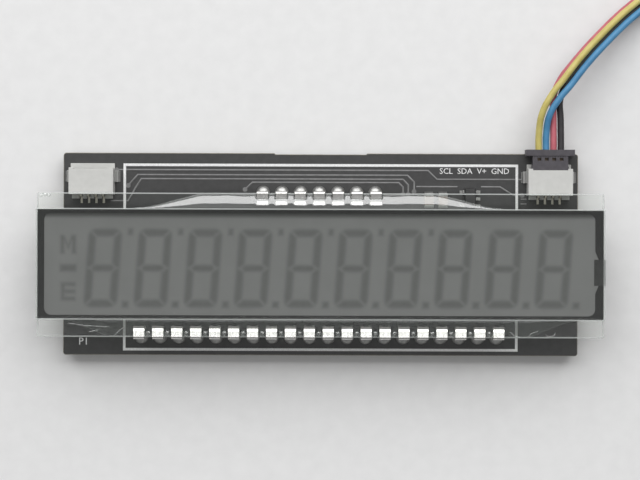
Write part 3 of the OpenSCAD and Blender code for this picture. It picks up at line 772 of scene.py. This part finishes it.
def resin_drops():
    """Resin that has pooled between the lower pins, run along the ledge and caught on the plate's corner."""
    middles = [centre(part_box(name), 0) / MM for name in LOWER_PINS]
    plate_low, plate_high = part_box("rear_glass")
    ledge = plate_high[2]
    pools = [((a + b) / 2, plate_low[1] / MM + POOL_INSET) for a, b in zip(middles, middles[1:])]
    drop = drop_tree(UPPER_RESIN)
    smear = strip_tree(UPPER_RESIN)
    grown("resin_drops", spots("resin_drops", pools, ledge), drop, UPPER_RESIN, "resin",
          Radius=0.36 * MM, Flatness=0.6)
    grown("corner_drops", spots("corner_drops", CORNER_DROPS, ledge), drop, UPPER_RESIN, "resin",
          Radius=0.26 * MM, Flatness=0.7)
    grown("resin_smears", routes("resin_smears", SMEARS, ledge + SMEAR_LIFT), smear, UPPER_RESIN, "resin",
          Width=0.16 * MM, Height=0.05 * MM)


# Printed circuit on both faces of the board: places in millimetres, sizes in metres

FRONT_TRACES = [
    [(-27.8, 11.44), (14.6, 11.44), (15.8, 10.24), (27.4, 10.24)],
    [(-26.2, 9.3), (-24.9, 10.78), (11.8, 10.78), (12.7, 9.9), (12.7, 8.6)],
    [(-25.2, 9.0), (-24.4, 10.23), (11.2, 10.23), (11.9, 9.5), (11.9, 8.2)],
    [(-10.3, 8.8), (-9.3, 9.78), (10.6, 9.78), (11.2, 9.2), (11.2, 8.2)],
    [(13.0, 9.24), (18.6, 9.24)],
    [(21.8, 9.24), (24.4, 9.24), (26.2, 8.1), (27.4, 8.1)],
    [(27.2, 7.55), (28.0, 7.55)],
    [(27.2, 6.9), (28.0, 6.9)],
    [(-28.6, 7.2), (-26.2, 7.2), (-25.2, 9.0)],
]
VIAS = [(-27.8, 11.44), (11.2, 8.2), (12.7, 8.6), (11.9, 8.2), (-10.3, 8.8), (27.4, 8.1), (-26.2, 9.3)]
COPPER_SKIN = 0.012 * MM
TRACE_H = 2 * COPPER_SKIN
VIA_H = 2.4 * COPPER_SKIN
FRONT_TRACE_W, FRONT_VIA_R = 0.25 * MM, 0.32 * MM
BACK_TRACE_W, BACK_VIA_R = 0.2 * MM, 0.22 * MM
CHIP_LEFT, CHIP_RIGHT = -9.75, 1.75
FAN_START = 1.2
FAN_RISE, FAN_STEP, FAN_SLOPE = 2.2, 0.16, 0.28
FAN_END_Y = 3.4
INK_HALF = 0.012 * MM
INK_LIFT = 0.014 * MM
LETTER_STEPS = 2


def back_fan_out():
    """From each lower pin, up the back of the board, in at a slant and on to a row of vias."""
    lines, ends = [], []
    last = len(LOWER_PINS) - 1
    for i, name in enumerate(LOWER_PINS):
        low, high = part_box(name)
        x = centre((low, high), 0) / MM
        y = low[1] / MM + FAN_START
        goal = CHIP_LEFT + (CHIP_RIGHT - CHIP_LEFT) * i / last
        bend = y + FAN_RISE + FAN_STEP * min(i, last - i)
        lines.append([(x, y), (x, bend), (goal, bend + FAN_SLOPE * abs(goal - x)), (goal, FAN_END_Y)])
        ends.append((goal, FAN_END_Y))
    return lines, ends


def printed_circuit():
    """Traces under the mask, and the vias where they change sides."""
    strip = strip_tree(COPPER)
    ring = ring_tree(COPPER)
    front = (FRONT_TRACES, VIAS, BOARD_TOP + COPPER_SKIN, FRONT_TRACE_W, FRONT_VIA_R)
    back = (*back_fan_out(), BOARD_BACK - COPPER_SKIN, BACK_TRACE_W, BACK_VIA_R)
    for side, (lines, ends, level, trace_w, via_r) in (("front", front), ("back", back)):
        traces, vias = side + "_traces", side + "_vias"
        grown(traces, routes(traces, lines, level), strip, COPPER, "board_mask",
              Width=trace_w, Height=TRACE_H)
        grown(vias, spots(vias, ends, level), ring, COPPER, "board_mask",
              Radius=via_r, Height=VIA_H)


def printed_words(name, words, height, x, y):
    """Generic lettering in printed ink, laid on the board's front face."""
    text = bpy.data.curves.new(name, "FONT")
    text.body = words
    text.size = height * MM
    text.extrude = INK_HALF
    text.align_x = "CENTER"
    text.align_y = "CENTER"
    text.resolution_u = LETTER_STEPS
    holder = bpy.data.objects.new(name + "_source", text)
    bpy.context.collection.objects.link(holder)
    bpy.context.view_layer.update()
    mesh = bpy.data.meshes.new_from_object(holder.evaluated_get(bpy.context.evaluated_depsgraph_get()))
    bpy.data.objects.remove(holder)
    mesh.transform(Matrix.Translation((x * MM, y * MM, BOARD_TOP + INK_LIFT)))
    piece(name, mesh, INK)


def lettering():
    """Bus words beside the right-hand socket, and a mark at the start of the lower pin row."""
    printed_words("bus_words", "SCL  SDA  V+  GND", height=1.1, x=20.9, y=11.35)
    printed_words("pin_row_mark", "P1", height=1.4, x=-32.2, y=-11.95)


# Solder that wets the small parts and the sockets' feet

TAB_WETTED = 0.45 * MM
FILLET_SPREAD = 0.22 * MM
FILLET_RISE = 0.55
FILLET_INSET = 0.06 * MM
FILLET_HOLLOW = 0.35


def fillet_ramp(work, low, high, side):
    """A hollow wedge of solder from a face's foot to about half its height; side is (axis, direction)."""
    axis, way = side
    rise = (high[2] - low[2]) * FILLET_RISE
    foot = high[axis] if way > 0 else low[axis]
    other = 1 - axis

    def corner(across, out, z):
        place = [0.0, 0.0, z]
        place[axis] = foot + way * out
        place[other] = across
        return work.verts.new(place)

    ends = []
    for across in (low[other] + FILLET_INSET, high[other] - FILLET_INSET):
        ends.append([corner(across, 0, low[2]), corner(across, FILLET_SPREAD, low[2]),
                     corner(across, FILLET_SPREAD * FILLET_HOLLOW, low[2] + rise * FILLET_HOLLOW),
                     corner(across, 0, low[2] + rise)])
    near, far = ends
    work.faces.new(near)
    work.faces.new(far[::-1])
    for k in range(len(near)):
        n = (k + 1) % len(near)
        work.faces.new((near[k], far[k], far[n], near[n]))


def solids_of(node):
    """Corner boxes of a node's separate solids, in a fixed order."""
    work = merged(node)
    left = set(work.verts)
    boxes = []
    while left:
        seed = left.pop()
        group, waiting = [seed], [seed]
        while waiting:
            vert = waiting.pop()
            for link in vert.link_edges:
                other = link.other_vert(vert)
                if other in left:
                    left.discard(other)
                    group.append(other)
                    waiting.append(other)
        low = [min(v.co[k] for v in group) for k in range(3)]
        high = [max(v.co[k] for v in group) for k in range(3)]
        boxes.append((low, high))
    work.free()
    return sorted(boxes)


def solder_fillets():
    """Solder at the outer end of each chip's caps, and along the outer foot of each socket tab."""
    work = bmesh.new()
    bodies = solids_of("chip_capacitors") + solids_of("chip_resistors")
    for cap in solids_of("chip_end_caps"):
        place = [centre(cap, axis) for axis in (0, 1)]
        body = min(bodies, key=lambda b: math.dist(place, [centre(b, axis) for axis in (0, 1)]))
        fillet_ramp(work, *cap, (1, 1 if centre(cap, 1) > centre(body, 1) else -1))
    sockets = [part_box("left_socket_housing"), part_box("right_socket_housing")]
    for tab in solids_of("socket_tabs"):
        socket = min(sockets, key=lambda b: abs(centre(b, 0) - centre(tab, 0)))
        low, high = tab
        foot = (high[0], high[1], low[2] + TAB_WETTED)
        fillet_ramp(work, low, foot, (0, 1 if centre(tab, 0) > centre(socket, 0) else -1))
    bmesh.ops.recalc_face_normals(work, faces=work.faces)
    piece("solder_fillets", to_mesh(work, "solder_fillets"), SOLDER)


# Dress every piece; an edge's width is how far it is rounded over

BOARD_EDGE = 0.1 * MM
FILM_EDGE = 0.04 * MM
GROUND_EDGE = 0.16 * MM
STRIP_EDGE = 0.035 * MM
MOULD_EDGE = 0.06 * MM
PACKAGE_EDGE = 0.04 * MM
TAB_EDGE = 0.03 * MM
BLADE_EDGE = 0.02 * MM
LEAD_EDGE = 0.015 * MM
CAP_EDGE = 0.05 * MM
# An edge this near to the board's outline belongs to it
RIM = 0.5 * MM


def outer_edges(edge):
    """Edges on the board's outline, not those of its holes."""
    return all(min(v.co.x - BOARD_LOW[0], BOARD_HIGH[0] - v.co.x, v.co.y - BOARD_LOW[1],
                   BOARD_HIGH[1] - v.co.y) < RIM for v in edge.verts)


softened("circuit_board", MASK, BOARD_EDGE, outer_edges, segments=1)
plain("legend_outline", INK)
softened("front_polarizer", FILM, FILM_EDGE, gap=HAIR)
for plate in ("front_glass", "rear_glass"):
    softened(plate, GLASS, GROUND_EDGE, segments=1, gap=HAIR)
plain("perimeter_seal", SEAL)
plain("fill_port_plug", PORT)
plain("rear_reflector", FOIL)
crystal_cell()
for pin in LOWER_PINS + UPPER_PINS:
    softened(pin, PIN, STRIP_EDGE, smooth=STRIP_ANGLE)
resin_bead("lower_resin_bead", LOWER_RESIN, -1, LOWER_TAPER)
resin_bead("upper_resin_bead", UPPER_RESIN, 1, UPPER_TAPER, UPPER_PINS)
plain("solder_joints", SOLDER)
for side in ("left", "right"):
    softened(side + "_socket_housing", SOCKET, MOULD_EDGE)
    softened(side + "_socket_contacts", CONTACT, BLADE_EDGE)
for node, material, slot, width in (
        ("socket_tabs", LEAD_TIN, "contact_metal", TAB_EDGE),
        ("driver_chip", CHIP, "chip_plastic", PACKAGE_EDGE),
        ("regulator", CHIP, "chip_plastic", PACKAGE_EDGE),
        ("chip_resistors", CHIP, "chip_plastic", TAB_EDGE),
        ("driver_chip_leads", LEAD_TIN, "lead_metal", LEAD_EDGE),
        ("regulator_leads", LEAD_TIN, "lead_metal", BLADE_EDGE),
        ("chip_capacitors", CERAMIC, "capacitor_ceramic", PACKAGE_EDGE),
        ("chip_end_caps", LEAD_TIN, "lead_metal", CAP_EDGE)):
    softened(node, material, width)
plugs = [
    softened("plug_housing", PLUG, MOULD_EDGE),
    softened("free_plug_housing", PLUG, MOULD_EDGE),
    softened("plug_contacts", SHADED_PLUG_CONTACT, BLADE_EDGE),
]
for w in range(len(WIRE_COLOURS)):
    insulated_wire(w)
printed_circuit()
lettering()
solder_fillets()
resin_drops()


# Floor, light and camera, in metres

FLOOR_HALF = 1.5
WORLD_LIGHT = 0.28
CAMERA_PLACE = (-0.00008, 0.00196, 0.3026)
CAMERA_TURN = 0.00314
LENS, SENSOR = 124, 36
NEAR_CLIP = 0.01


def pale_floor():
    """A plain floor, level with the pin tips."""
    finish = Finish("pale floor", 226, roughness=0.8)
    finish.mottle(2 * MM, 224, 228)
    mesh = bpy.data.meshes.new("floor")
    corners = [(x * FLOOR_HALF, y * FLOOR_HALF, 0) for x, y in ((-1, -1), (1, -1), (1, 1), (-1, 1))]
    mesh.from_pydata(corners, [], [(0, 1, 2, 3)])
    mesh.materials.append(finish.material)
    floor = bpy.data.objects.new("floor", mesh)
    bpy.context.collection.objects.link(floor)


def softbox(name, place, width, height, power):
    """A square-cornered lamp that faces the module."""
    lamp = bpy.data.lights.new(name, "AREA")
    lamp.shape = "RECTANGLE"
    lamp.size = width
    lamp.size_y = height
    lamp.energy = power
    made = bpy.data.objects.new(name, lamp)
    made.location = place
    made.rotation_euler = (-Vector(place)).to_track_quat("-Z", "Y").to_euler()
    bpy.context.collection.objects.link(made)


def studio():
    """White surroundings, a broad lamp past the upper edge and a narrow strip overhead."""
    world = bpy.data.worlds.new("studio")
    world.use_nodes = True
    background = world.node_tree.nodes["Background"]
    background.inputs["Color"].default_value = (1, 1, 1, 1)
    background.inputs["Strength"].default_value = WORLD_LIGHT
    bpy.context.scene.world = world
    bpy.context.scene.view_settings.view_transform = "Standard"
    softbox("key", (0.0, 0.42, 0.43), width=1.2, height=0.56, power=5.8)
    softbox("top_strip", (0.0, -0.053, 0.59), width=0.8, height=0.048, power=0.27)


def camera():
    """Straight above the module, a little off its middle."""
    lens = bpy.data.cameras.new("camera")
    lens.lens = LENS
    lens.sensor_width = SENSOR
    lens.clip_start = NEAR_CLIP
    made = bpy.data.objects.new("camera", lens)
    made.location = CAMERA_PLACE
    made.rotation_euler = (0, 0, CAMERA_TURN)
    bpy.context.collection.objects.link(made)
    bpy.context.scene.camera = made


pale_floor()
studio()
camera()
